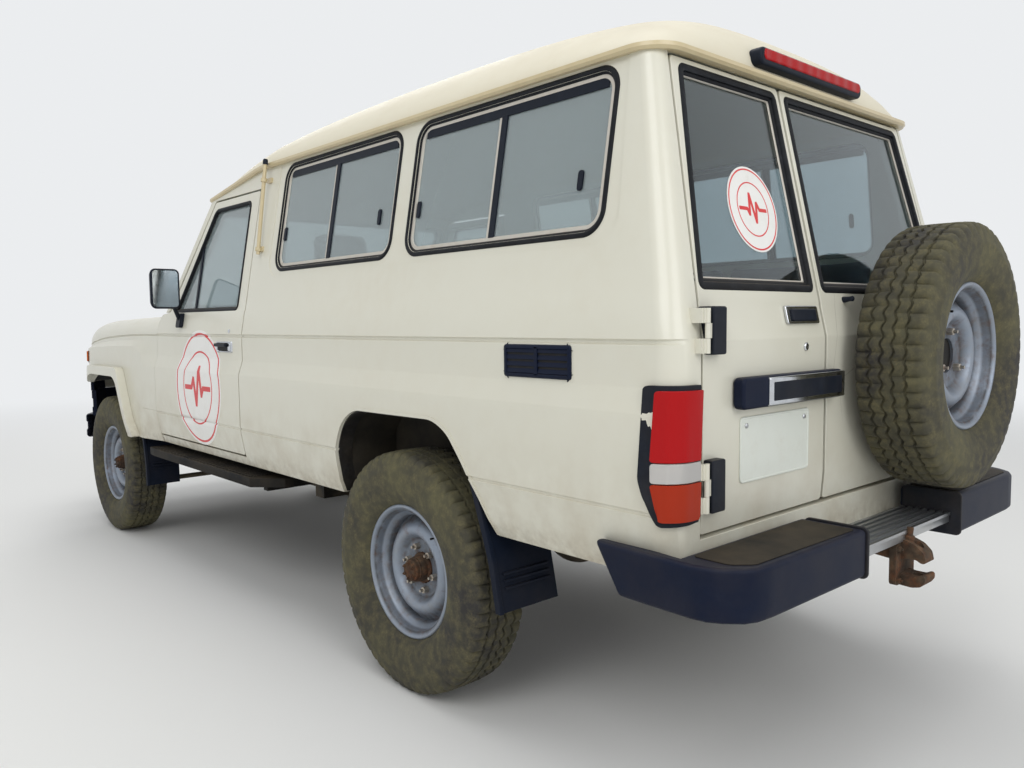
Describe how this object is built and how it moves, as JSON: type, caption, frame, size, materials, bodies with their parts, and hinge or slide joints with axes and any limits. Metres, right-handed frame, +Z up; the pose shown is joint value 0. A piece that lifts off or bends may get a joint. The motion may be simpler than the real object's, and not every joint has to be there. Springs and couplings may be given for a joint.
{
  "type": "ambulance wagon, long wheelbase hard top 4x4",
  "caption": "Long wheelbase hard top 4x4 ambulance wagon with opening doors and bonnet, steered front wheels, turning wheels and a spare on the rear door.",
  "frame": {"origin": "on the road, under the middle of the bounding box", "axes": "+Z up, -Y towards the front, +X towards the left side of the vehicle"},
  "size_m": [1.97, 5.17, 2.1149],
  "materials": {
    "body_paint": "gloss",
    "grille_paint": "satin",
    "chassis_black": "satin",
    "cast_metal": "matte",
    "pipe_steel": "matte",
    "tank_steel": "satin",
    "floor_paint": "satin",
    "window_glass": "gloss",
    "lamp_glass": "gloss",
    "lamp_lens": "gloss",
    "bumper_plastic": "satin",
    "tread_rubber": "matte",
    "step_aluminium": "satin",
    "rusty_steel": "matte",
    "wheel_steel": "satin",
    "tyre_rubber": "matte",
    "trim_plastic": "matte",
    "seat_vinyl": "satin"
  },
  "bodies": {
    "vehicle": {"body_side_left": "body_paint", "body_side_right": "body_paint", "rear_frame": "body_paint", "roof": "body_paint", "cowl": "body_paint", "front_wings": "body_paint", "grille_panel": "grille_paint", "chassis_rails": "chassis_black", "cross_members": "chassis_black", "body_mounts": "chassis_black", "front_axle": "chassis_black", "rear_axle": "chassis_black", "leaf_springs": "chassis_black", "propshafts": "chassis_black", "engine": "cast_metal", "gearbox": "cast_metal", "exhaust": "pipe_steel", "fuel_tank": "tank_steel", "floor": "floor_paint", "fixed_glass": "window_glass", "headlamps": "lamp_glass", "rear_lamps": "lamp_lens", "rear_bumper": "bumper_plastic", "front_bumper": "bumper_plastic", "running_boards": "tread_rubber", "mud_flaps": "tread_rubber", "rear_step": "step_aluminium", "tow_hook": "rusty_steel", "dashboard": "trim_plastic", "steering_wheel": "trim_plastic", "front_seats": "seat_vinyl", "bench": "seat_vinyl", "stretcher": "seat_vinyl"},
    "front_door_left": {"front_door_left": "body_paint", "door_glass_left": "window_glass", "mirror_left": "trim_plastic"},
    "front_door_right": {"front_door_right": "body_paint", "door_glass_right": "window_glass", "mirror_right": "trim_plastic"},
    "rear_door_left": {"rear_door_left": "body_paint", "rear_glass_left": "window_glass"},
    "rear_door_right": {"rear_door_right": "body_paint", "rear_glass_right": "window_glass", "spare_carrier": "chassis_black", "rim_spare": "wheel_steel", "tyre_spare": "tyre_rubber"},
    "bonnet": {"bonnet": "body_paint"},
    "knuckle_left": {"knuckle_left": "chassis_black"},
    "knuckle_right": {"knuckle_right": "chassis_black"},
    "tie_rod": {"tie_rod": "chassis_black"},
    "wheel_front_left": {"rim_front_left": "wheel_steel", "tyre_front_left": "tyre_rubber"},
    "wheel_front_right": {"rim_front_right": "wheel_steel", "tyre_front_right": "tyre_rubber"},
    "wheel_rear_left": {"rim_rear_left": "wheel_steel", "tyre_rear_left": "tyre_rubber"},
    "wheel_rear_right": {"rim_rear_right": "wheel_steel", "tyre_rear_right": "tyre_rubber"}
  },
  "joints": [
    {"name": "steer_left", "type": "hinge", "parent": "vehicle", "child": "knuckle_left", "pos_m": [0.61, -1.715, 0.396], "axis": [0, 0, 1], "range_deg": [-30, 30]},
    {"name": "steer_right", "type": "hinge", "parent": "vehicle", "child": "knuckle_right", "pos_m": [-0.61, -1.715, 0.396], "axis": [0, 0, 1], "range_deg": [-30, 30]},
    {"name": "tie_rod_end", "type": "hinge", "parent": "knuckle_left", "child": "tie_rod", "pos_m": [0.61, -1.53, 0.33], "axis": [0, 0, 1], "range_deg": [-30, 30]},
    {"name": "spin_front_left", "type": "hinge", "parent": "knuckle_left", "child": "wheel_front_left", "pos_m": [0.7575, -1.715, 0.396], "axis": [1, 0, 0], "continuous": true},
    {"name": "spin_front_right", "type": "hinge", "parent": "knuckle_right", "child": "wheel_front_right", "pos_m": [-0.7575, -1.715, 0.396], "axis": [1, 0, 0], "continuous": true},
    {"name": "spin_rear_left", "type": "hinge", "parent": "vehicle", "child": "wheel_rear_left", "pos_m": [0.74, 1.265, 0.396], "axis": [1, 0, 0], "continuous": true},
    {"name": "spin_rear_right", "type": "hinge", "parent": "vehicle", "child": "wheel_rear_right", "pos_m": [-0.74, 1.265, 0.396], "axis": [1, 0, 0], "continuous": true},
    {"name": "front_door_left_hinge", "type": "hinge", "parent": "vehicle", "child": "front_door_left", "pos_m": [0.834, -0.914, 0.9], "axis": [0, 0, -1], "range_deg": [0, 65]},
    {"name": "front_door_right_hinge", "type": "hinge", "parent": "vehicle", "child": "front_door_right", "pos_m": [-0.834, -0.914, 0.9], "axis": [0, 0, 1], "range_deg": [0, 65]},
    {"name": "rear_door_left_hinge", "type": "hinge", "parent": "vehicle", "child": "rear_door_left", "pos_m": [0.732, 2.367, 0.95], "axis": [0, 0, -1], "range_deg": [0, 90]},
    {"name": "rear_door_right_hinge", "type": "hinge", "parent": "vehicle", "child": "rear_door_right", "pos_m": [-0.732, 2.367, 0.95], "axis": [0, 0, 1], "range_deg": [0, 90]},
    {"name": "bonnet_hinge", "type": "hinge", "parent": "vehicle", "child": "bonnet", "pos_m": [0, -1.026, 1.249], "axis": [-1, 0, 0], "range_deg": [0, 50]}
  ],
  "couplings": [
    {"joint": "steer_right", "follows": "steer_left", "ratio": 1},
    {"joint": "tie_rod_end", "follows": "steer_left", "ratio": -1}
  ]
}
